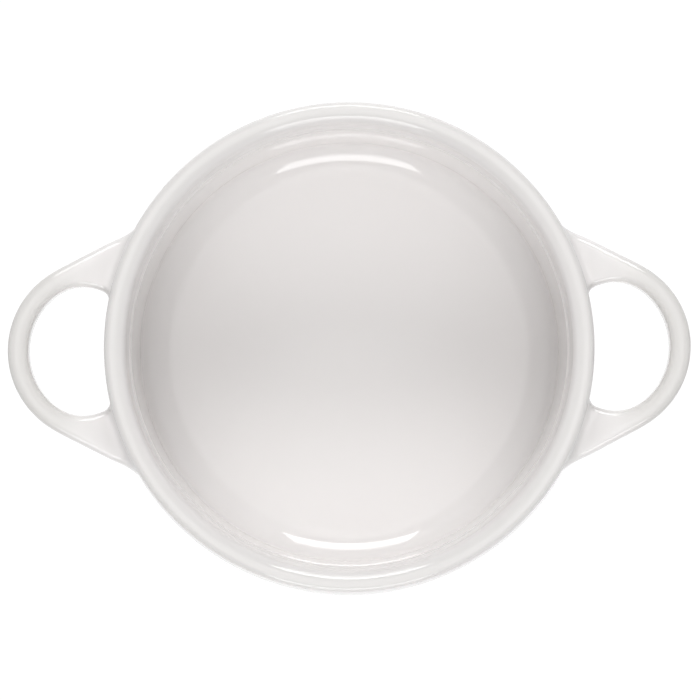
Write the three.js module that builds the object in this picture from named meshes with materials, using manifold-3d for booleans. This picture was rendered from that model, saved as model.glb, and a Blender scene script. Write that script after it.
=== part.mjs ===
// Mini cocotte: a small round stoneware pot with a loop handle on each side, open at the top.
// Millimetres, +Z up, +X through the right handle. The origin is on the table, under the pot's centre.
import * as THREE from "three";
import { mergeVertices } from "three/addons/utils/BufferGeometryUtils.js";
import Module from "manifold-3d";

// Overall sizes
const RIM_RADIUS = 50;
const HEIGHT = 50;
const SPAN = 140.9; // over both handles

// Foot ring
const FOOT_HEIGHT = 2;
const FOOT_OUTER_RADIUS = 37;
const FOOT_WIDTH = 3.5;
const FOOT_EDGE_ROUND = 0.5;

// Outside of the bowl
const HEEL_RADIUS = RIM_RADIUS - 0.6;
const HEEL_ROUND = 11;
const BELLY_CORNER_RADIUS = RIM_RADIUS + 1.8; // before the belly's long rounding
const BELLY_HEIGHT = 29;
const BELLY_ROUND = 75;
const NECK_RADIUS = RIM_RADIUS - 0.7;
const NECK_HEIGHT = HEIGHT - 4.7;
const NECK_ROUND = 1;
const RIM_FACE = 3.6; // upright outer face of the rim, from its lower edge to the crest
const RIM_EDGE_ROUND = 0.5;

// Rim crest and inside of the bowl
const RIM_WIDTH = 4.1;
const RIM_OUTER_ROUND = 1.3;
const RIM_INNER_ROUND = 1.8;
const LEDGE_DEPTH = 6.4; // below the crest
const LEDGE_WIDTH = 0.4;
const LEDGE_DROP = 0.35;
const LEDGE_ROUND = 0.6;
const UPPER_DRAFT = 0.75; // how far the inside narrows from the crest to the ledge
const LOWER_DRAFT = 0.3; // and from the ledge to the floor
const FLOOR_THICKNESS = 4.5;
const FLOOR_ROUND = 8.6; // wide rounding at the edge of the floor
const CORNER_ROUND = 3.6; // tighter rounding at the foot of the wall
const CORNER_WIDTH = 4; // slope between these two roundings
const CORNER_HEIGHT = 3.3;

// Loop handles
const HANDLE_MID_HEIGHT = 33; // where it leaves the wall
const HANDLE_SLOPE = THREE.MathUtils.degToRad(11); // rise of the loop towards its far end
const WALL_AT_HANDLE = RIM_RADIUS + 1.1;
const HANDLE_THICKNESS = 7.8;
const BAND_WIDTH = 4.3; // of the loop at its far end
const LOOP_RADIUS = 19;
const LOOP_CENTRE = SPAN / 2 - LOOP_RADIUS;
const FLANK_ANGLE = THREE.MathUtils.degToRad(27.5); // how the flanks spread towards the pot
const HOLE_HALF_WIDTH = 13.3;
const HOLE_SHOULDER_RADIUS = 9.5;
const OUTER_ROOT_ROUND = 1.8;
const INNER_ROOT_ROUND = 1.3;
const HANDLE_EDGE_WIDTH = 1.6;
const HANDLE_EDGE_HEIGHT = 1.5;

// Luted joint: each handle root stands in a shallow seat in the wall, with a thin layer of slip between
const SEAT_DEPTH = 0.8;
const SLIP_GAP = 0.3;
const ROOT_BLANK_DEPTH = 5; // how far the uncut handle reaches into the wall

// Facets
const TURN_SEGMENTS = 60;
const SECTION_ARC_STEPS = 2;
const PLAN_ARC_STEPS = 5;
const HANDLE_EDGE_STEPS = 3;

const wasm = await Module();
wasm.setup();

const glazedStoneware = () =>
  new THREE.MeshStandardMaterial({ color: 0xe9e7e4, roughness: 0.12, metalness: 0 });

const bareStoneware = () =>
  new THREE.MeshStandardMaterial({ color: 0xd8cfc0, roughness: 0.85, metalness: 0 });

// Closed solid from a geometry, with its shared vertices merged.
function solid(geometry) {
  geometry.deleteAttribute("normal");
  geometry.deleteAttribute("uv");
  const merged = mergeVertices(geometry);
  const vertProperties = new Float32Array(merged.attributes.position.array);
  const triVerts = new Uint32Array(merged.index.array);
  return new wasm.Manifold(new wasm.Mesh({ numProp: 3, vertProperties, triVerts }));
}

function geometryOf(manifold) {
  const { vertProperties, triVerts } = manifold.getMesh();
  const geometry = new THREE.BufferGeometry();
  geometry.setAttribute("position", new THREE.BufferAttribute(vertProperties, 3));
  geometry.setIndex(new THREE.BufferAttribute(triVerts, 1));
  geometry.computeVertexNormals();
  return geometry;
}

function piece(name, geometry, material) {
  const mesh = new THREE.Mesh(geometry, material);
  mesh.name = name;
  return mesh;
}

// Adds the arc about a centre that runs from one point to another.
function arcBetween(path, centre, from, to, clockwise) {
  const start = from.clone().sub(centre);
  const end = to.clone().sub(centre);
  path.absarc(centre.x, centre.y, start.length(), start.angle(), end.angle(), clockwise);
}

// Half section through a turned piece, from corners given as [radius, height, rounding].
function section(corners) {
  const points = corners.map(([radius, height]) => new THREE.Vector2(radius, height));
  const path = new THREE.Path();
  path.moveTo(points[0].x, points[0].y);
  for (let i = 1; i < corners.length - 1; i++) {
    const corner = points[i];
    const back = points[i - 1].clone().sub(corner).normalize();
    const ahead = points[i + 1].clone().sub(corner).normalize();
    const halfAngle = Math.acos(back.dot(ahead)) / 2;
    const rounding = corners[i][2];
    const reach = rounding / Math.tan(halfAngle);
    const bisector = back.clone().add(ahead).normalize();
    const centre = corner.clone().addScaledVector(bisector, rounding / Math.sin(halfAngle));
    const from = corner.clone().addScaledVector(back, reach);
    const to = corner.clone().addScaledVector(ahead, reach);
    path.lineTo(from.x, from.y);
    arcBetween(path, centre, from, to, back.cross(ahead) > 0);
  }
  const last = points[points.length - 1];
  path.lineTo(last.x, last.y);
  return path.getPoints(SECTION_ARC_STEPS);
}

function turned(outline) {
  return new THREE.LatheGeometry(outline, TURN_SEGMENTS).rotateX(Math.PI / 2);
}

const outerWall = [
  [HEEL_RADIUS, FOOT_HEIGHT, HEEL_ROUND],
  [BELLY_CORNER_RADIUS, BELLY_HEIGHT, BELLY_ROUND],
  [NECK_RADIUS, NECK_HEIGHT, NECK_ROUND],
];

function bowl() {
  const floorHeight = FOOT_HEIGHT + FLOOR_THICKNESS;
  const mouthRadius = RIM_RADIUS - RIM_WIDTH;
  const ledgeOuter = mouthRadius - UPPER_DRAFT;
  const ledgeInner = ledgeOuter - LEDGE_WIDTH;
  const ledgeHeight = HEIGHT - LEDGE_DEPTH;
  const cornerRadius = ledgeInner - LOWER_DRAFT;
  const outline = section([
    [0, FOOT_HEIGHT],
    ...outerWall,
    [RIM_RADIUS, HEIGHT - RIM_FACE, RIM_EDGE_ROUND],
    [RIM_RADIUS, HEIGHT, RIM_OUTER_ROUND],
    [mouthRadius, HEIGHT, RIM_INNER_ROUND],
    [ledgeOuter, ledgeHeight, LEDGE_ROUND],
    [ledgeInner, ledgeHeight - LEDGE_DROP, LEDGE_ROUND],
    [cornerRadius, floorHeight + CORNER_HEIGHT, CORNER_ROUND],
    [cornerRadius - CORNER_WIDTH, floorHeight, FLOOR_ROUND],
    [0, floorHeight],
  ]);
  return turned(outline);
}

// Solid block inside the outer wall, drawn in by an inset, for cutting the luted joints.
function wallCore(inset) {
  const wall = outerWall.map(([radius, height, rounding]) => [radius - inset, height, rounding]);
  return solid(turned(section([[0, FOOT_HEIGHT], ...wall, [0, NECK_HEIGHT]])));
}

function footRing() {
  const inner = FOOT_OUTER_RADIUS - FOOT_WIDTH;
  const outline = section([
    [inner, FOOT_HEIGHT],
    [inner, 0, FOOT_EDGE_ROUND],
    [FOOT_OUTER_RADIUS, 0, FOOT_EDGE_ROUND],
    [FOOT_OUTER_RADIUS, FOOT_HEIGHT],
  ]);
  return turned([...outline, outline[0]]);
}

// Where two circles meet, on the side of larger Y.
function circlesMeet(centreA, radiusA, centreB, radiusB) {
  const apart = centreB.clone().sub(centreA);
  const distance = apart.length();
  const along = (distance ** 2 + radiusA ** 2 - radiusB ** 2) / (2 * distance);
  const across = Math.sqrt(radiusA ** 2 - along ** 2);
  const direction = apart.divideScalar(distance);
  const normal = new THREE.Vector2(-direction.y, direction.x);
  if (normal.y < 0) normal.negate();
  return centreA.clone().addScaledVector(direction, along).addScaledVector(normal, across);
}

// Turning points of the handle's plan on its +Y half, seen from above with the pot's axis at the origin.
function handlePlanPoints() {
  const axis = new THREE.Vector2(0, 0);
  const loop = new THREE.Vector2(LOOP_CENTRE, 0);
  const flankNormal = new THREE.Vector2(Math.sin(FLANK_ANGLE), Math.cos(FLANK_ANGLE));
  const flankAlong = new THREE.Vector2(-flankNormal.y, flankNormal.x);
  const flankStart = loop.clone().addScaledVector(flankNormal, LOOP_RADIUS);

  const filletLine = flankStart.clone().addScaledVector(flankNormal, OUTER_ROOT_ROUND);
  const filletReach = WALL_AT_HANDLE + OUTER_ROOT_ROUND;
  const toNearest = -filletLine.dot(flankAlong);
  const nearest = filletLine.clone().addScaledVector(flankAlong, toNearest);
  const back = Math.sqrt(filletReach ** 2 - nearest.lengthSq());
  const outerFillet = nearest.clone().addScaledVector(flankAlong, -back);

  const holeRadius = LOOP_RADIUS - BAND_WIDTH;
  const shoulderUp = HOLE_HALF_WIDTH - HOLE_SHOULDER_RADIUS;
  const shoulderOut = Math.sqrt((holeRadius - HOLE_SHOULDER_RADIUS) ** 2 - shoulderUp ** 2);
  const shoulder = new THREE.Vector2(LOOP_CENTRE + shoulderOut, shoulderUp);
  const innerFillet = circlesMeet(
    axis, WALL_AT_HANDLE + INNER_ROOT_ROUND, shoulder, HOLE_SHOULDER_RADIUS - INNER_ROOT_ROUND,
  );
  return {
    loop,
    flankStart,
    outerFillet,
    flankEnd: outerFillet.clone().addScaledVector(flankNormal, -OUTER_ROOT_ROUND),
    outerRoot: outerFillet.clone().setLength(WALL_AT_HANDLE),
    shoulder,
    holeTurn: loop.clone().addScaledVector(shoulder.clone().sub(loop).normalize(), holeRadius),
    innerFillet,
    holeEnd: shoulder.clone().add(innerFillet.clone().sub(shoulder).setLength(HOLE_SHOULDER_RADIUS)),
    innerRoot: innerFillet.clone().setLength(WALL_AT_HANDLE),
  };
}

// Plan of the right handle: a C whose two roots run on into the wall.
function handlePlan() {
  const upper = handlePlanPoints();
  const lower = {};
  for (const [name, point] of Object.entries(upper)) {
    lower[name] = new THREE.Vector2(point.x, -point.y);
  }
  const intoWall = (point) => point.clone().setLength(WALL_AT_HANDLE - ROOT_BLANK_DEPTH);
  const plan = new THREE.Shape();
  const lineTo = (point) => plan.lineTo(point.x, point.y);
  const start = intoWall(lower.outerRoot);
  plan.moveTo(start.x, start.y);
  lineTo(lower.outerRoot);
  arcBetween(plan, lower.outerFillet, lower.outerRoot, lower.flankEnd, true);
  lineTo(lower.flankStart);
  arcBetween(plan, upper.loop, lower.flankStart, upper.flankStart, false);
  lineTo(upper.flankEnd);
  arcBetween(plan, upper.outerFillet, upper.flankEnd, upper.outerRoot, true);
  lineTo(intoWall(upper.outerRoot));
  lineTo(intoWall(upper.innerRoot));
  lineTo(upper.innerRoot);
  arcBetween(plan, upper.innerFillet, upper.innerRoot, upper.holeEnd, true);
  arcBetween(plan, upper.shoulder, upper.holeEnd, upper.holeTurn, true);
  arcBetween(plan, upper.loop, upper.holeTurn, lower.holeTurn, true);
  arcBetween(plan, lower.shoulder, lower.holeTurn, lower.holeEnd, true);
  arcBetween(plan, lower.innerFillet, lower.holeEnd, lower.innerRoot, true);
  lineTo(intoWall(lower.innerRoot));
  lineTo(start);
  return plan;
}

// Right handle before its roots are cut, with rounded edges, grown all round by a gap.
function handleBlank(grow) {
  const depth = HANDLE_THICKNESS + 2 * grow - 2 * HANDLE_EDGE_HEIGHT;
  const blank = new THREE.ExtrudeGeometry(handlePlan(), {
    depth,
    curveSegments: PLAN_ARC_STEPS,
    bevelThickness: HANDLE_EDGE_HEIGHT,
    bevelSize: HANDLE_EDGE_WIDTH,
    bevelOffset: grow - HANDLE_EDGE_WIDTH,
    bevelSegments: HANDLE_EDGE_STEPS,
  });
  const rising = new THREE.Matrix4().makeShear(0, Math.tan(HANDLE_SLOPE), 0, 0, 0, 0);
  blank.translate(-WALL_AT_HANDLE, 0, -depth / 2).applyMatrix4(rising);
  return blank.translate(WALL_AT_HANDLE, 0, HANDLE_MID_HEIGHT);
}

function handle() {
  return geometryOf(solid(handleBlank(0)).subtract(wallCore(SEAT_DEPTH - SLIP_GAP)));
}

function potBody() {
  const rightSeat = handleBlank(SLIP_GAP);
  const leftSeat = rightSeat.clone().rotateZ(Math.PI);
  const core = wallCore(SEAT_DEPTH);
  let body = solid(bowl());
  for (const seat of [rightSeat, leftSeat]) {
    body = body.subtract(solid(seat).subtract(core));
  }
  return geometryOf(body);
}

const cocotte = new THREE.Group();
cocotte.add(piece("pot_body", potBody(), glazedStoneware()));
cocotte.add(piece("foot_ring", footRing(), bareStoneware()));
const rightHandle = piece("right_handle", handle(), glazedStoneware());
const leftHandle = piece("left_handle", handle(), glazedStoneware());
leftHandle.rotation.z = Math.PI;
cocotte.add(rightHandle, leftHandle);

export default cocotte;
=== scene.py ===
"""Mini cocotte: a small glazed stoneware pot with two loop handles, built around its frame."""

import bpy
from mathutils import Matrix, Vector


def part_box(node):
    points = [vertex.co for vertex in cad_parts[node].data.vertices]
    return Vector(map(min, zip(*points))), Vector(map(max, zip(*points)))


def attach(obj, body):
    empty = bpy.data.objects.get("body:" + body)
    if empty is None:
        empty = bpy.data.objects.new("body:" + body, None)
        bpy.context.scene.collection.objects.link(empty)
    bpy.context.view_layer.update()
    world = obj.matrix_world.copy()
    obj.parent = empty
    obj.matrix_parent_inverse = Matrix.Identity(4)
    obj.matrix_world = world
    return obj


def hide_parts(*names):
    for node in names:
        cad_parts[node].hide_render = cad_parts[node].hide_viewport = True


bl_info = {
    "name": "Mini Cocotte",
    "version": (1, 0, 0),
    "blender": (4, 5, 0),
    "location": "View3D > Sidebar > Cocotte",
    "description": "Models a glazed stoneware mini cocotte piece by piece, and its studio",
    "category": "Add Mesh",
}

import math

import bmesh
import bpy
from bpy.props import FloatProperty, FloatVectorProperty, IntProperty, PointerProperty
from mathutils import Matrix, Vector

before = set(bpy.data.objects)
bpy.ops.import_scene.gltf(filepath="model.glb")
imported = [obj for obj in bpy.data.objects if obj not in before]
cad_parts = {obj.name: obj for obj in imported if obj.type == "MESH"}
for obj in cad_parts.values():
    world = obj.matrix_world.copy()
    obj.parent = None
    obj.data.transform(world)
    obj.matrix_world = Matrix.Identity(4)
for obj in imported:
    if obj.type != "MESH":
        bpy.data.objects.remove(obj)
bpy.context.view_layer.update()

MM = 0.001
BODY = "root"
MERGE = 1e-6  # metres: points closer than this are one point
SEAM = 1e-5  # metres: the two halves of a handle join where they are closer than this
ARC_SEGMENT = math.radians(6)  # turn of one straight step in a rounded corner
LEAST_SEGMENTS = 4  # steps in the slightest rounding
POT_LOW, POT_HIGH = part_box("pot_body")
FOOT_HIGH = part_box("foot_ring")[1]


def linear(hex_colour):
    """Linear RGB of an sRGB hex colour such as "e8e4df"."""
    channels = [int(hex_colour[i:i + 2], 16) / 255 for i in (0, 2, 4)]
    return [c / 12.92 if c <= 0.04045 else ((c + 0.055) / 1.055) ** 2.4 for c in channels]


def framed_length(name, description, metres):
    """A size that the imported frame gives."""
    return FloatProperty(
        name=name, description=description, default=metres, unit="LENGTH", precision=5
    )


def length(name, description, millimetres):
    """A size written in millimetres."""
    return framed_length(name, description, millimetres * MM)


def angle(name, description, degrees):
    """A turn written in degrees."""
    return FloatProperty(
        name=name, description=description, default=math.radians(degrees), subtype="ANGLE"
    )


def power(name, description, watts):
    """Power of a lamp."""
    return FloatProperty(name=name, description=description, default=watts, unit="POWER")


def plain_number(name, description, value):
    """A number without a unit."""
    return FloatProperty(name=name, description=description, default=value, min=0, precision=3)


def count(name, description, number, least):
    """A number of steps or points."""
    return IntProperty(name=name, description=description, default=number, min=least)


def colour(name, description, hex_colour):
    """A colour written as sRGB hex."""
    return FloatVectorProperty(
        name=name, description=description, default=linear(hex_colour), subtype="COLOR", min=0, max=1
    )


class CocotteBowlSizes(bpy.types.PropertyGroup):
    """Sizes of the bowl's half section"""

    height: framed_length("Height", "From the table to the crest of the rim", POT_HIGH.z)
    underside: framed_length("Underside", "Height of the flat underside", POT_LOW.z)
    rim_radius: length("Rim radius", "Outside of the rim", 50)
    rim_width: length("Rim width", "From the outside of the rim to the mouth", 4.1)
    rim_face: length("Rim face", "Height of the upright face of the rim", 3.6)
    rim_outer_round: length("Rim outer rounding", "Rounding of the crest on the outside", 1.4)
    rim_inner_round: length("Rim inner rounding", "Rounding of the crest towards the mouth", 2.65)
    rim_edge_round: length("Rim edge rounding", "Rounding of the rim face's lower edge", 0.6)
    neck_depth: length("Neck depth", "How far the neck is drawn in from the rim", 0.7)
    neck_drop: length("Neck drop", "How far the neck lies below the crest", 4.7)
    neck_round: length("Neck rounding", "Rounding of the neck under the rim", 1.2)
    belly_corner: length("Belly corner", "How far the belly's corner stands out, unrounded", 1.8)
    belly_height: length("Belly height", "Height of the widest place", 29)
    belly_round: length("Belly rounding", "Long rounding of the belly", 75)
    heel_inset: length("Heel inset", "How far the foot of the wall lies inside the rim", 0.6)
    heel_round: length("Heel rounding", "Rounding from the wall to the underside", 11)
    ledge_depth: length("Ledge depth", "Ledge below the crest", 6.4)
    ledge_width: length("Ledge width", "How far the ledge steps in", 0.4)
    ledge_drop: length("Ledge drop", "Slope of the ledge", 0.8)
    ledge_round: length("Ledge rounding", "Rounding of the ledge under the glaze", 0.6)
    seat_draft: length("Seat draft", "How far the wall narrows from the crest to the ledge", 0.75)
    wall_draft: length("Wall draft", "How far the wall narrows from the ledge to the floor", 0.3)
    floor_thickness: length("Floor thickness", "Thickness of the floor", 4.5)
    floor_round: length("Floor rounding", "Wide rounding at the edge of the floor", 8.6)
    corner_round: length("Corner rounding", "Tighter rounding at the foot of the inside wall", 3.6)
    corner_width: length("Corner width", "Width of the slope between them, unrounded", 4)
    corner_height: length("Corner height", "Height of the slope between them, unrounded", 3.3)
    turn_steps: count("Turn steps", "Steps in one turn of the wheel", 192, 24)


class CocotteFootSizes(bpy.types.PropertyGroup):
    """Sizes of the foot ring"""

    radius: framed_length("Radius", "Outside of the foot ring", FOOT_HIGH.x)
    height: framed_length("Height", "Height of the foot ring", FOOT_HIGH.z)
    width: length("Width", "Width of the ring", 3.5)
    edge_round: length("Edge rounding", "Worn edge of the ring", 0.5)
    into_pot: length("Into the pot", "How far the ring runs up into the underside", 0.5)


class CocotteHandleSizes(bpy.types.PropertyGroup):
    """Sizes of a handle, drawn level and then sloped"""

    reach: length("Reach", "From the pot's axis to the end of the handle", 70.5)
    mid_height: length("Mid height", "Height of the loop's middle where it leaves the wall", 33)
    slope: angle("Slope", "Rise of the loop towards its far end", 11)
    thickness: length("Thickness", "Thickness of the loop", 7.8)
    wall_radius: length("Wall radius", "Outside of the pot where the handle joins it", 51.1)
    loop_radius: length("Loop radius", "Outer radius of the far end", 19)
    band_width: length("Band width", "Width of the loop at its far end", 4.3)
    flank_angle: angle("Flank angle", "How the flanks spread towards the pot", 27.5)
    hole_half_width: length("Hole half width", "Half the width of the finger hole", 13.3)
    shoulder_radius: length("Hole shoulder", "Radius of the finger hole's shoulders", 9.5)
    edge_across: length("Edge across", "Rounding of the loop's outer edges, seen from above", 2.3)
    hole_edge_across: length("Hole edge across", "Rounding of the hole's edges, seen from above", 1.7)
    edge_up: length("Edge up", "Rounding of the loop's edges, seen from the side", 1.6)
    fillet: length("Fillet", "Rounding where the handle runs into the wall", 1.5)
    fillet_rise: plain_number("Fillet rise", "Height of that rounding, over its width", 1.5)
    section_points: count("Section points", "Points round the loop", 24, 8)
    end_steps: count("End steps", "Steps round half the far end", 8, 2)
    flank_steps: count("Flank steps", "Steps along a flank", 6, 2)


class CocotteFinish(bpy.types.PropertyGroup):
    """Colours of the glaze and the clay, and the sizes of their patterns"""

    glaze: colour("Glaze", "White glaze", "f3f1f0")
    glaze_cloud: colour("Glaze cloud", "The glaze where it lies a little thinner", "f1eeed")
    # This grey is partly thin glaze and partly painted shade that darkens the crest and the handles
    thin_glaze_and_painted_shade: colour("Thin glaze", "The glaze where it runs thin over an edge", "e1dfdc")
    cloud_size: length("Cloud size", "Width of the clouds in the glaze", 22)
    wave_size: length("Wave size", "Width of the slow waves that the glaze sets in", 7)
    wave_height: length("Wave height", "Height of these waves", 0.05)
    least_roughness: plain_number("Least roughness", "Roughness of the glaze at its glossiest", 0.03)
    most_roughness: plain_number("Most roughness", "Roughness of the glaze in its clouds", 0.055)
    # These bands and shares lay the grey on the crest and the handles, as thin glaze and as painted
    # shade
    crest_band: length("Crest band", "Height below the crest in which the glaze thins", 0.9)
    crest_thinning_and_painted_shade: plain_number("Crest thinning", "Share of thin glaze on the crest", 0.45)
    handle_band: length("Handle band", "Distance from the wall in which the glaze thins", 12)
    handle_thinning_and_painted_shade: plain_number("Handle thinning", "Share of thin glaze on the handles", 0.8)
    bare_clay: colour("Bare clay", "Unglazed fired clay", "d9cdbb")
    bare_clay_dark: colour("Bare clay, dark", "Darker grit in the clay", "b39f86")
    grit_size: length("Grit size", "Width of the grit in the clay", 0.9)


class CocotteStudio(bpy.types.PropertyGroup):
    """Camera, lamps and floor"""

    camera_distance: length("Camera distance", "From the lens to the rim", 850)
    camera_tilt: angle("Camera tilt", "Lean of the view from straight down", 1.5)
    camera_roll: angle("Camera roll", "Turn of the picture", 0.55)
    field: length("Field", "Width of the picture at the rim", 142.4)
    aim_right: length("Aim right", "Middle of the picture, right of the pot's axis", 0.15)
    aim_front: length("Aim front", "Middle of the picture, in front of the pot's axis", 0.62)
    lamp_distance: length("Lamp distance", "From each lamp to the pot", 1000)
    lamp_elevation: angle("Lamp elevation", "Height of the lamps above the horizon", 37.25)
    back_width: length("Back lamp width", "Width of the lamp behind", 520)
    front_width: length("Front lamp width", "Width of the lamp in front", 610)
    lamp_height: length("Lamp height", "Height of both lamps", 285)
    back_power: power("Back lamp power", "Power of the lamp behind", 3.8)
    front_power: power("Front lamp power", "Power of the lamp in front", 2.95)
    fill_drop: angle("Fill drop", "How far the weak lamps hang below the others", 17)
    fill_power: power("Fill power", "Power of each weak lamp, which lights the wall across", 1.45)
    panel_rise: length("Panel rise", "From the rim to the panel overhead", 1200)
    panel_width: length("Panel width", "Width of the panel, along the handles", 640)
    panel_depth: length("Panel depth", "Depth of the panel, across the handles", 1600)
    panel_power: power("Panel power", "Power of the panel overhead", 2.8)
    room_light: plain_number("Room light", "Strength of the soft light from above, all round", 0.37)
    room_rise: plain_number("Room rise", "Sine of the elevation from which it is full", 0.75)
    floor_radius: length("Floor radius", "Radius of the white floor", 4000)


# Making meshes by hand tools


def begin_edit():
    """Goes into edit mode, to work on points."""
    bpy.ops.object.mode_set(mode="EDIT")
    bpy.ops.mesh.select_mode(type="VERT")


def end_edit():
    """Goes back to object mode."""
    bpy.ops.object.mode_set(mode="OBJECT")


def select_points(indices):
    """Selects points of the mesh in edit mode by their numbers."""
    bpy.ops.mesh.select_all(action="DESELECT")
    mesh = bpy.context.edit_object.data
    points = bmesh.from_edit_mesh(mesh)
    points.verts.ensure_lookup_table()
    for index in indices:
        points.verts[index].select_set(True)
    points.select_flush_mode()
    bmesh.update_edit_mesh(mesh)


def point_places(selected_only=False):
    """The place of each point of the mesh in edit mode, by its number."""
    points = bmesh.from_edit_mesh(bpy.context.edit_object.data)
    points.verts.index_update()
    return {v.index: v.co.copy() for v in points.verts if v.select or not selected_only}


def turn_section(name, corners, steps, closed=False):
    """Draws a half section as a chain of corners, each with its radius, height and rounding,
    rounds them and spins the chain."""
    bpy.ops.object.select_all(action="DESELECT")
    bpy.ops.mesh.primitive_plane_add(size=MM)
    piece = bpy.context.object
    piece.name = name
    piece.data.name = name
    begin_edit()
    bpy.ops.mesh.merge(type="CENTER")
    places = [Vector((radius, 0, height)) for radius, height, _ in corners]
    bpy.ops.transform.translate(value=places[0])
    for before, after in zip(places, places[1:]):
        bpy.ops.mesh.extrude_region_move(TRANSFORM_OT_translate={"value": after - before})
    if closed:
        bpy.ops.mesh.select_all(action="SELECT")
        bpy.ops.mesh.remove_doubles(threshold=MERGE)
    for i, (_, _, rounding) in enumerate(corners):
        if rounding:
            round_corner(places[i - 1], places[i], places[i + 1], rounding)
    bpy.ops.mesh.select_all(action="SELECT")
    bpy.ops.mesh.spin(steps=steps, angle=2 * math.pi, center=(0, 0, 0), axis=(0, 0, 1))
    bpy.ops.mesh.select_all(action="SELECT")
    bpy.ops.mesh.remove_doubles(threshold=MERGE)
    bpy.ops.mesh.normals_make_consistent(inside=False)
    end_edit()
    bpy.ops.object.shade_smooth()
    return piece


def round_corner(before, corner, after, rounding):
    """Rounds one corner of the chain in edit mode to a radius."""
    turn = (corner - before).angle(after - corner)
    reach = rounding * math.tan(turn / 2)
    segments = max(LEAST_SEGMENTS, round(turn / ARC_SEGMENT))
    nearest = [i for i, place in point_places().items() if (place - corner).length < MERGE]
    select_points(nearest)
    bpy.ops.mesh.bevel(offset=reach, segments=segments, affect="VERTICES", profile=0.5)


def finish_piece(piece, material, slot, *nodes):
    """Gives a piece its finish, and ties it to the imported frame."""
    piece.data.materials.clear()
    piece.data.materials.append(material)
    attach(piece, BODY)
    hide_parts(*nodes)


def apply_modifier(piece, name, kind, **settings):
    """Adds a modifier, sets it and applies it."""
    modifier = piece.modifiers.new(name, kind)
    for key, value in settings.items():
        setattr(modifier, key, value)
    bpy.ops.object.modifier_apply(modifier=name)


# Materials


def add_node(tree, kind, settings=None, **inputs):
    """Adds a shader node with its settings, and gives its inputs values or links."""
    node = tree.nodes.new(kind)
    for key, value in (settings or {}).items():
        setattr(node, key, value)
    for key, value in inputs.items():
        socket = node.inputs[int(key[1:]) if key[1:].isdigit() else key.replace("_", " ")]
        if isinstance(value, bpy.types.NodeSocket):
            tree.links.new(value, socket)
        else:
            socket.default_value = value
    return node


def new_material(name):
    """An empty material and its node tree."""
    material = bpy.data.materials.new(name)
    material.use_nodes = True
    material.node_tree.nodes.clear()
    return material, material.node_tree


def rgba(values):
    """An opaque colour."""
    return (*values, 1)


def grey(value):
    """An opaque neutral colour, where 1 is white."""
    return (value, value, value, 1)


def glazed_stoneware(finish):
    """White glaze over stoneware, dipped and fired glossy.
    The eye sees a soft white with faint clouds, a little greyer on the crest and the handles,
    partly where the glaze runs thin and partly as painted shade, and mirror lines that waver
    slightly."""
    material = bpy.data.materials.get("white_glazed_stoneware")
    if material:
        return material
    material, tree = new_material("white_glazed_stoneware")
    place = add_node(tree, "ShaderNodeTexCoord").outputs["Object"]
    clouds = add_node(
        tree, "ShaderNodeTexNoise",
        Vector=place, Scale=1 / finish.cloud_size, Detail=3.0, Roughness=0.55,
    )
    toned = add_node(
        tree, "ShaderNodeMix", {"data_type": "RGBA"},
        i0=clouds.outputs["Fac"], i6=rgba(finish.glaze), i7=rgba(finish.glaze_cloud),
    )
    axes = add_node(tree, "ShaderNodeSeparateXYZ", Vector=place)
    # Painted shade, partly thin glaze: masks that turn the crest and the handles greyer
    crest = add_node(
        tree, "ShaderNodeMapRange", {"interpolation_type": "SMOOTHSTEP"},
        Value=axes.outputs["Z"], From_Min=POT_HIGH.z - finish.crest_band, From_Max=POT_HIGH.z,
        To_Min=0.0, To_Max=finish.crest_thinning_and_painted_shade,
    )
    outward = add_node(tree, "ShaderNodeMath", {"operation": "ABSOLUTE"}, i0=axes.outputs["X"])
    loops = add_node(
        tree, "ShaderNodeMapRange", {"interpolation_type": "SMOOTHSTEP"},
        Value=outward.outputs["Value"], From_Min=POT_HIGH.x,
        From_Max=POT_HIGH.x + finish.handle_band, To_Min=0.0, To_Max=finish.handle_thinning_and_painted_shade,
    )
    thin_glaze_and_shade_mask = add_node(
        tree, "ShaderNodeMath", {"operation": "MAXIMUM"},
        i0=crest.outputs["Result"], i1=loops.outputs["Result"],
    )
    thin_and_shaded_colour = add_node(
        tree, "ShaderNodeMix", {"data_type": "RGBA"},
        i0=thin_glaze_and_shade_mask.outputs["Value"], i6=toned.outputs["Result"], i7=rgba(finish.thin_glaze_and_painted_shade),
    )
    waves = add_node(
        tree, "ShaderNodeTexNoise",
        Vector=place, Scale=1 / finish.wave_size, Detail=1.5, Roughness=0.4,
    )
    waver = add_node(
        tree, "ShaderNodeBump",
        Strength=0.05, Distance=finish.wave_height, Height=waves.outputs["Fac"],
    )
    sheen = add_node(
        tree, "ShaderNodeMapRange", Value=clouds.outputs["Fac"],
        To_Min=finish.least_roughness, To_Max=finish.most_roughness,
    )
    shader = add_node(
        tree, "ShaderNodeBsdfPrincipled", Base_Color=thin_and_shaded_colour.outputs["Result"],
        Roughness=sheen.outputs["Result"], IOR=1.5, Normal=waver.outputs["Normal"],
    )
    add_node(tree, "ShaderNodeOutputMaterial", Surface=shader.outputs["BSDF"])
    return material


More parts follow.
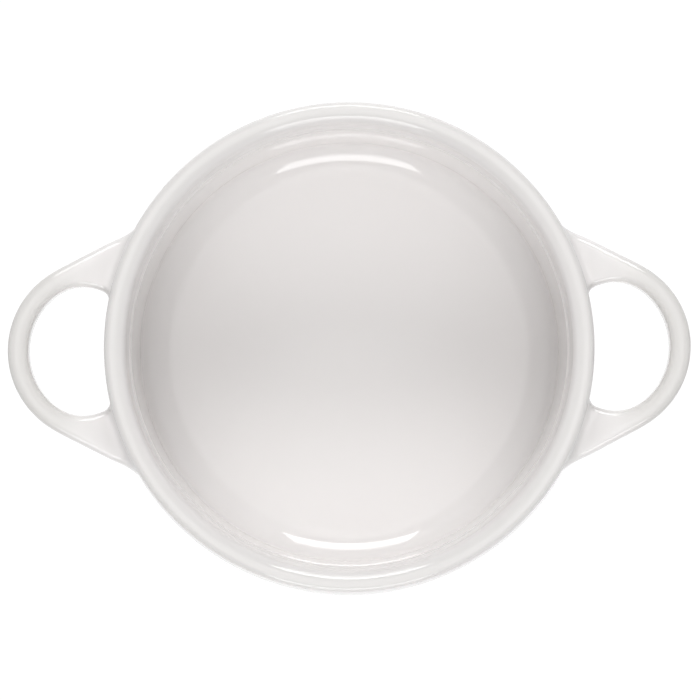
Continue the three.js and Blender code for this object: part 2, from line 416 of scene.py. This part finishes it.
def bare_stoneware(finish):
    """Fired stoneware left bare and ground flat.
    The eye sees a dry buff face with darker grit, which is drawn coarser than it is, to show."""
    material, tree = new_material("bare_fired_stoneware")
    place = add_node(tree, "ShaderNodeTexCoord").outputs["Object"]
    grit = add_node(
        tree, "ShaderNodeTexNoise",
        Vector=place, Scale=1 / finish.grit_size, Detail=4.0, Roughness=0.7,
    )
    specks = add_node(
        tree, "ShaderNodeMapRange", {"interpolation_type": "SMOOTHSTEP"},
        Value=grit.outputs["Fac"], From_Min=0.5, From_Max=0.75, To_Min=0.0, To_Max=0.8,
    )
    toned = add_node(
        tree, "ShaderNodeMix", {"data_type": "RGBA"},
        i0=specks.outputs["Result"], i6=rgba(finish.bare_clay), i7=rgba(finish.bare_clay_dark),
    )
    tooth = add_node(
        tree, "ShaderNodeBump", Strength=0.5, Distance=0.1 * MM, Height=grit.outputs["Fac"]
    )
    shader = add_node(
        tree, "ShaderNodeBsdfPrincipled",
        Base_Color=toned.outputs["Result"], Roughness=0.85, IOR=1.5, Normal=tooth.outputs["Normal"],
    )
    add_node(tree, "ShaderNodeOutputMaterial", Surface=shader.outputs["BSDF"])
    return material


# Pieces


class COCOTTE_OT_bowl(bpy.types.Operator):
    """Turns the bowl: underside, heel, belly, neck, rim, ledge, inside wall and floor"""

    bl_idname = "cocotte.bowl"
    bl_label = "Bowl"

    def execute(self, context):
        sizes = context.scene.cocotte_bowl
        rim = sizes.rim_radius
        top = sizes.height
        mouth = rim - sizes.rim_width
        ledge_outer = mouth - sizes.seat_draft
        ledge_inner = ledge_outer - sizes.ledge_width
        ledge = top - sizes.ledge_depth
        corner = ledge_inner - sizes.wall_draft
        floor = sizes.underside + sizes.floor_thickness
        corners = [
            (0, sizes.underside, 0),
            (rim - sizes.heel_inset, sizes.underside, sizes.heel_round),
            (rim + sizes.belly_corner, sizes.belly_height, sizes.belly_round),
            (rim - sizes.neck_depth, top - sizes.neck_drop, sizes.neck_round),
            (rim, top - sizes.rim_face, sizes.rim_edge_round),
            (rim, top, sizes.rim_outer_round),
            (mouth, top, sizes.rim_inner_round),
            (ledge_outer, ledge, sizes.ledge_round),
            (ledge_inner, ledge - sizes.ledge_drop, sizes.ledge_round),
            (corner, floor + sizes.corner_height, sizes.corner_round),
            (corner - sizes.corner_width, floor, sizes.floor_round),
            (0, floor, 0),
        ]
        bowl = turn_section("glazed_bowl", corners, sizes.turn_steps)
        finish_piece(bowl, glazed_stoneware(context.scene.cocotte_finish), "glaze", "pot_body")
        return {"FINISHED"}


class COCOTTE_OT_foot(bpy.types.Operator):
    """Turns the bare foot ring that the pot stands on"""

    bl_idname = "cocotte.foot"
    bl_label = "Foot ring"

    def execute(self, context):
        sizes = context.scene.cocotte_foot
        inner = sizes.radius - sizes.width
        top = sizes.height + sizes.into_pot
        corners = [
            (inner, top, 0),
            (inner, 0, sizes.edge_round),
            (sizes.radius, 0, sizes.edge_round),
            (sizes.radius, top, 0),
            (inner, top, 0),
        ]
        steps = context.scene.cocotte_bowl.turn_steps
        foot = turn_section("bare_foot", corners, steps, closed=True)
        finish_piece(foot, bare_stoneware(context.scene.cocotte_finish), "bare_clay", "foot_ring")
        return {"FINISHED"}


class HandlePlan:
    """Plan of a handle's +Y half: matching points on its outer edge and on the finger hole."""

    def __init__(self, sizes):
        self.loop = Vector((sizes.reach - sizes.loop_radius, 0))
        self.loop_radius = sizes.loop_radius
        self.wall = sizes.wall_radius
        self.flank_turn = math.pi / 2 - sizes.flank_angle
        self.flank_normal = Vector((math.cos(self.flank_turn), math.sin(self.flank_turn)))
        self.flank_start = self.loop + self.flank_normal * sizes.loop_radius
        self.shoulder_radius = sizes.shoulder_radius
        hole_radius = sizes.loop_radius - sizes.band_width
        up = sizes.hole_half_width - sizes.shoulder_radius
        out = math.sqrt((hole_radius - sizes.shoulder_radius) ** 2 - up ** 2)
        self.shoulder = self.loop + Vector((out, up))
        self.hole_radius = hole_radius
        self.hole_turn = math.atan2(up, out)

    def end_pair(self, turn):
        """Points at one turn round the far end."""
        ray = Vector((math.cos(turn), math.sin(turn)))
        inner = self.hole_radius
        if turn > self.hole_turn:
            back = self.shoulder - self.loop
            along = ray.dot(back)
            inner = along + math.sqrt(along ** 2 - back.length_squared + self.shoulder_radius ** 2)
        return self.loop + ray * self.loop_radius, self.loop + ray * inner

    def flank_at(self, radius):
        """Where the flank is this far from the pot's axis."""
        along = Vector((-self.flank_normal.y, self.flank_normal.x))
        nearest = self.flank_normal * self.flank_start.dot(self.flank_normal)
        return nearest - along * math.sqrt(radius ** 2 - nearest.length_squared)

    def hole_at(self, radius):
        """Where the finger hole's shoulder is this far from the pot's axis."""
        distance = self.shoulder.length
        along = (distance ** 2 + radius ** 2 - self.shoulder_radius ** 2) / (2 * distance)
        across = math.sqrt(radius ** 2 - along ** 2)
        toward = self.shoulder / distance
        return toward * along + Vector((-toward.y, toward.x)) * across

    def root_pair(self, clearance):
        """Points on the flank and on the hole at a distance from the wall."""
        return self.flank_at(self.wall + clearance), self.hole_at(self.wall + clearance)

    def flank_pair(self, share):
        """Points on the way from the far end, share 0, to the wall, share 1."""
        end_outer, end_inner = self.end_pair(self.flank_turn)
        outer_gap = (end_outer.length - self.wall) * (1 - share)
        inner_gap = (end_inner.length - self.wall) * (1 - share)
        return self.flank_at(self.wall + outer_gap), self.hole_at(self.wall + inner_gap)


class LoopRing:
    """The last ring of points of a handle in edit mode, and where it stands."""

    def __init__(self, sizes, outer, inner, growth=0):
        middle = (outer + inner) / 2
        self.centre = Vector((middle.x, middle.y, sizes.mid_height))
        self.across = (outer - inner).to_3d().normalized()
        self.half_width = (outer - inner).length / 2 + growth
        self.half_height = sizes.thickness / 2 + growth * sizes.fillet_rise


# Distances from the wall of the rings that round a handle into it, as shares of the fillet:
# the last two lie on the wall and just under it
FILLET_RINGS = (1.0, 0.55, 0.25, 0.08, 0.0, -0.012)
SKIRT = 0.3  # how far the last ring runs on along the wall, as a share of the fillet


def fillet_growth(share):
    """How far a root has spread at this distance from the wall, both as shares of the fillet."""
    if share < 0:
        return 1 + SKIRT
    return 1 - math.sqrt(1 - (1 - share) ** 2)


class COCOTTE_OT_handles(bpy.types.Operator):
    """Draws half a loop from its far end to the wall, mirrors it and copies it across the pot"""

    bl_idname = "cocotte.handles"
    bl_label = "Handles"

    def execute(self, context):
        sizes = context.scene.cocotte_handle
        plan = HandlePlan(sizes)
        material = glazed_stoneware(context.scene.cocotte_finish)
        right = self.half_loop(sizes, plan)
        self.slope_upwards(right, sizes)
        self.join_to_wall(right, sizes)
        bpy.ops.object.select_all(action="DESELECT")
        right.select_set(True)
        context.view_layer.objects.active = right
        bpy.ops.object.duplicate()
        left = context.object
        left.name = "glazed_handle_left"
        left.data.name = left.name
        bpy.ops.transform.rotate(value=math.pi, orient_axis="Z", center_override=(0, 0, 0))
        bpy.ops.object.transform_apply(location=True, rotation=True, scale=True)
        finish_piece(right, material, "glaze", "right_handle")
        finish_piece(left, material, "glaze", "left_handle")
        return {"FINISHED"}

    def half_loop(self, sizes, plan):
        """Extrudes the section from the far end along the flank to the wall."""
        self.fillet_rings = []
        first = LoopRing(sizes, *plan.end_pair(0))
        bpy.ops.object.select_all(action="DESELECT")
        half_step = math.pi / sizes.section_points  # leaves a flat face at the top, not a point
        upright = (math.pi / 2, half_step, 0)
        bpy.ops.mesh.primitive_circle_add(
            vertices=sizes.section_points, radius=1, location=first.centre, rotation=upright
        )
        piece = bpy.context.object
        piece.name = "glazed_handle_right"
        piece.data.name = piece.name
        bpy.ops.object.transform_apply(location=True, rotation=True, scale=True)
        begin_edit()
        for side, across in ((1, sizes.edge_across), (-1, sizes.hole_edge_across)):
            places = point_places().items()
            half = [i for i, place in places if (place.x - first.centre.x) * side > 0]
            select_points(half)
            bpy.ops.transform.resize(value=(across, 1, sizes.edge_up), center_override=first.centre)
        bpy.ops.mesh.select_all(action="SELECT")
        outer = first.half_width - sizes.edge_across
        inner = first.half_width - sizes.hole_edge_across
        self.widen(first, outer, inner, first.half_height - sizes.edge_up)
        ring = first
        for step in range(1, sizes.end_steps + 1):
            pair = plan.end_pair(plan.flank_turn * step / sizes.end_steps)
            ring = self.next_ring(ring, LoopRing(sizes, *pair))
        last_share = 1 - 2 * sizes.fillet / (plan.flank_start.length - plan.wall)
        for step in range(1, sizes.flank_steps + 1):
            pair = plan.flank_pair(last_share * step / sizes.flank_steps)
            ring = self.next_ring(ring, LoopRing(sizes, *pair))
        for share in FILLET_RINGS:
            pair = plan.root_pair(max(share, 0) * sizes.fillet)
            growth = fillet_growth(share) * sizes.fillet
            ring = self.next_ring(ring, LoopRing(sizes, *pair, growth=growth))
            points = list(point_places(selected_only=True))
            self.fillet_rings.append((share * sizes.fillet, points))
        end_edit()
        return piece

    def next_ring(self, before, ring):
        """Extrudes the ring to its next place, turns it, and gives it its width and height."""
        move = ring.centre - before.centre
        bpy.ops.mesh.extrude_region_move(TRANSFORM_OT_translate={"value": move})
        turn = before.across.xy.angle_signed(ring.across.xy)
        bpy.ops.transform.rotate(value=turn, orient_axis="Z", center_override=ring.centre)
        wider = ring.half_width - before.half_width
        self.widen(ring, wider, wider, ring.half_height - before.half_height)
        return ring

    def widen(self, ring, outer, inner, higher):
        """Moves the sides of the selected ring apart, and leaves its rounded edges as they are."""
        places = point_places(selected_only=True)
        out = ring.across
        up = Vector((0, 0, 1))
        for direction, move in ((out, outer), (-out, inner), (up, higher), (-up, higher)):
            away = {i: (place - ring.centre).dot(direction) for i, place in places.items()}
            select_points([i for i, distance in away.items() if distance > MERGE])
            bpy.ops.transform.translate(value=direction * move)
        select_points(places)

    def slope_upwards(self, piece, sizes):
        """Lifts the far end with a lattice, so that the level loop rises evenly from the wall."""
        inside = sizes.wall_radius - sizes.loop_radius
        out = sizes.reach + sizes.edge_across
        middle = Vector(((inside + out) / 2, 0, sizes.mid_height))
        bpy.ops.object.add(type="LATTICE", location=middle)
        lattice = bpy.context.object
        lattice.scale = (out - inside, 2 * out, 2 * out)
        lattice.data.interpolation_type_u = "KEY_LINEAR"
        for point in lattice.data.points:
            away = middle.x + point.co.x * lattice.scale.x - sizes.wall_radius
            point.co_deform.z += away * math.tan(sizes.slope) / lattice.scale.z
        bpy.context.view_layer.objects.active = piece
        apply_modifier(piece, "Rise", "LATTICE", object=lattice)
        bpy.data.objects.remove(lattice)

    def join_to_wall(self, piece, sizes):
        """Mirrors the half loop, sets its root rings off the wall and smooths it."""
        for i, (_, points) in enumerate(self.fillet_rings):
            piece.vertex_groups.new(name=f"root_{i}").add(points, 1.0, "REPLACE")
        apply_modifier(
            piece, "Other half", "MIRROR", use_axis=(False, True, False), merge_threshold=SEAM
        )
        bowl = bpy.data.objects["glazed_bowl"]
        for i, (distance, _) in enumerate(self.fillet_rings):
            apply_modifier(
                piece, "Onto wall", "SHRINKWRAP", target=bowl, vertex_group=f"root_{i}",
                wrap_method="NEAREST_SURFACEPOINT", wrap_mode="ABOVE_SURFACE", offset=distance,
            )
        piece.vertex_groups.clear()
        apply_modifier(piece, "Smooth", "SUBSURF", levels=2, render_levels=2)
        begin_edit()
        bpy.ops.mesh.select_all(action="SELECT")
        bpy.ops.mesh.normals_make_consistent(inside=False)
        end_edit()
        bpy.ops.object.shade_smooth()


# Studio


PAPER_GLOW = 0.95  # white of the paper as it is seen, before the light that falls on it
PAPER_SHADE = 0.1  # share of the falling light that is added to it, and missing in the shadow
PAPER_WHITE = 0.8  # share of the light that the paper throws back on the pot
FLOOR_POINTS = 64
SENSOR_WIDTH = 36  # millimetres
VIEW_LIMIT = 20  # metres: the camera sees this far


def softbox(name, elevation, distance, width, height, power):
    """A soft lamp that faces the pot: elevation 0 is level behind it, half a turn level in front."""
    aim = Vector((0, 0, POT_HIGH.z))
    place = aim + Vector((0, math.cos(elevation), math.sin(elevation))) * distance
    bpy.ops.object.light_add(type="AREA", location=place)
    lamp = bpy.context.object
    lamp.name = name
    lamp.rotation_euler = (elevation - math.pi / 2, 0, 0)
    lamp.data.shape = "RECTANGLE"
    lamp.data.size = width
    lamp.data.size_y = height
    lamp.data.energy = power
    lamp.visible_camera = False
    return lamp


def seen_directly(tree):
    """1 for what is seen, straight or mirrored, and 0 for the light that falls on the pot."""
    rays = add_node(tree, "ShaderNodeLightPath").outputs
    gloss = add_node(
        tree, "ShaderNodeMath", {"operation": "MAXIMUM"},
        i0=rays["Is Glossy Ray"], i1=rays["Is Transmission Ray"],
    )
    either = add_node(
        tree, "ShaderNodeMath", {"operation": "MAXIMUM"},
        i0=rays["Is Camera Ray"], i1=gloss.outputs["Value"],
    )
    return either.outputs["Value"]


def white_paper():
    """Seamless white studio paper: white to the eye, with the pot's shadow faint on it.
    From below it is clear, so that the underside can be seen."""
    material, tree = new_material("white_studio_paper")
    glow = add_node(tree, "ShaderNodeEmission", Color=grey(1), Strength=PAPER_GLOW)
    faint = add_node(tree, "ShaderNodeBsdfDiffuse", Color=grey(PAPER_SHADE))
    seen = add_node(
        tree, "ShaderNodeAddShader", i0=glow.outputs["Emission"], i1=faint.outputs["BSDF"]
    )
    paper = add_node(tree, "ShaderNodeBsdfDiffuse", Color=grey(PAPER_WHITE))
    mixed = add_node(
        tree, "ShaderNodeMixShader",
        i0=seen_directly(tree), i1=paper.outputs["BSDF"], i2=seen.outputs["Shader"],
    )
    clear = add_node(tree, "ShaderNodeBsdfTransparent")
    back = add_node(tree, "ShaderNodeNewGeometry").outputs["Backfacing"]
    sided = add_node(
        tree, "ShaderNodeMixShader", i0=back, i1=mixed.outputs["Shader"], i2=clear.outputs["BSDF"]
    )
    add_node(tree, "ShaderNodeOutputMaterial", Surface=sided.outputs["Shader"])
    return material


class COCOTTE_OT_stage(bpy.types.Operator):
    """Sets the white floor, the lamps behind, in front and overhead, the room light and the camera"""

    bl_idname = "cocotte.stage"
    bl_label = "Studio"

    def execute(self, context):
        studio = context.scene.cocotte_studio
        self.floor(studio)
        self.lamps(studio)
        self.room(context.scene, studio)
        self.camera(context.scene, studio)
        return {"FINISHED"}

    def lamps(self, studio):
        """Hangs a crisp lamp and a weak one below it on both sides, and a panel overhead."""
        reach = studio.lamp_distance
        tall = studio.lamp_height
        high = studio.lamp_elevation
        low = high - studio.fill_drop
        back = studio.back_width
        front = studio.front_width
        softbox("back_softbox", high, reach, back, tall, studio.back_power)
        softbox("back_fill", low, reach, back, tall, studio.fill_power)
        softbox("front_softbox", math.pi - high, reach, front, tall, studio.front_power)
        softbox("front_fill", math.pi - low, reach, front, tall, studio.fill_power)
        panel = softbox(
            "overhead_panel", math.pi / 2, studio.panel_rise,
            studio.panel_width, studio.panel_depth, studio.panel_power,
        )
        panel.data.shape = "ELLIPSE"

    def floor(self, studio):
        """Lays the paper that the pot stands on."""
        bpy.ops.object.select_all(action="DESELECT")
        bpy.ops.mesh.primitive_circle_add(
            vertices=FLOOR_POINTS, radius=studio.floor_radius, fill_type="NGON"
        )
        floor = bpy.context.object
        floor.name = "studio_floor"
        floor.data.materials.append(white_paper())

    def room(self, scene, studio):
        """Lights the room softly from above, and shows it white."""
        world = bpy.data.worlds.new("studio_room")
        world.use_nodes = True
        tree = world.node_tree
        tree.nodes.clear()
        direction = add_node(tree, "ShaderNodeTexCoord").outputs["Generated"]
        upward = add_node(tree, "ShaderNodeSeparateXYZ", Vector=direction)
        ceiling = add_node(
            tree, "ShaderNodeMapRange", {"interpolation_type": "SMOOTHSTEP"},
            Value=upward.outputs["Z"], From_Min=0.0, From_Max=studio.room_rise,
            To_Min=0.0, To_Max=studio.room_light,
        )
        light = add_node(
            tree, "ShaderNodeBackground", Color=grey(1), Strength=ceiling.outputs["Result"]
        )
        white = add_node(tree, "ShaderNodeBackground", Color=grey(1), Strength=1.0)
        mixed = add_node(
            tree, "ShaderNodeMixShader", i0=seen_directly(tree),
            i1=light.outputs["Background"], i2=white.outputs["Background"],
        )
        add_node(tree, "ShaderNodeOutputWorld", Surface=mixed.outputs["Shader"])
        scene.world = world
        scene.view_settings.view_transform = "Standard"

    def camera(self, scene, studio):
        """Looks down on the pot from almost straight above."""
        aim = Vector((studio.aim_right, -studio.aim_front, POT_HIGH.z))
        back = Vector((0, -math.sin(studio.camera_tilt), math.cos(studio.camera_tilt)))
        bpy.ops.object.camera_add(location=aim + back * studio.camera_distance)
        camera = bpy.context.object
        upright = (-back).to_track_quat("-Z", "Y").to_matrix()
        camera.rotation_euler = (upright @ Matrix.Rotation(-studio.camera_roll, 3, "Z")).to_euler()
        camera.data.sensor_width = SENSOR_WIDTH
        camera.data.lens = camera.data.sensor_width * studio.camera_distance / studio.field
        camera.data.clip_end = VIEW_LIMIT
        scene.camera = camera


class COCOTTE_PT_panel(bpy.types.Panel):
    """Lists the pieces, the studio and their sizes"""

    bl_idname = "COCOTTE_PT_panel"
    bl_label = "Mini Cocotte"
    bl_space_type = "VIEW_3D"
    bl_region_type = "UI"
    bl_category = "Cocotte"

    def draw(self, context):
        for operator in OPERATORS:
            self.layout.operator(operator.bl_idname)
        for group in GROUPS:
            box = self.layout.box()
            box.label(text=group.removeprefix("cocotte_").capitalize())
            settings = getattr(context.scene, group)
            for prop in settings.bl_rna.properties:
                if not prop.is_readonly and prop.identifier != "name":
                    box.prop(settings, prop.identifier)


OPERATORS = (COCOTTE_OT_bowl, COCOTTE_OT_foot, COCOTTE_OT_handles, COCOTTE_OT_stage)
GROUPS = {
    "cocotte_bowl": CocotteBowlSizes,
    "cocotte_foot": CocotteFootSizes,
    "cocotte_handle": CocotteHandleSizes,
    "cocotte_finish": CocotteFinish,
    "cocotte_studio": CocotteStudio,
}


def register():
    """Adds the classes, and their sizes to the scene."""
    for item in (*GROUPS.values(), *OPERATORS, COCOTTE_PT_panel):
        bpy.utils.register_class(item)
    for name, group in GROUPS.items():
        setattr(bpy.types.Scene, name, PointerProperty(type=group))


def unregister():
    """Takes them away again."""
    for name in GROUPS:
        delattr(bpy.types.Scene, name)
    for item in (COCOTTE_PT_panel, *OPERATORS, *GROUPS.values()):
        bpy.utils.unregister_class(item)


def main():
    """Makes the pieces and the studio."""
    register()
    bpy.ops.cocotte.bowl()
    bpy.ops.cocotte.foot()
    bpy.ops.cocotte.handles()
    bpy.ops.cocotte.stage()


if __name__ == "__main__":
    main()
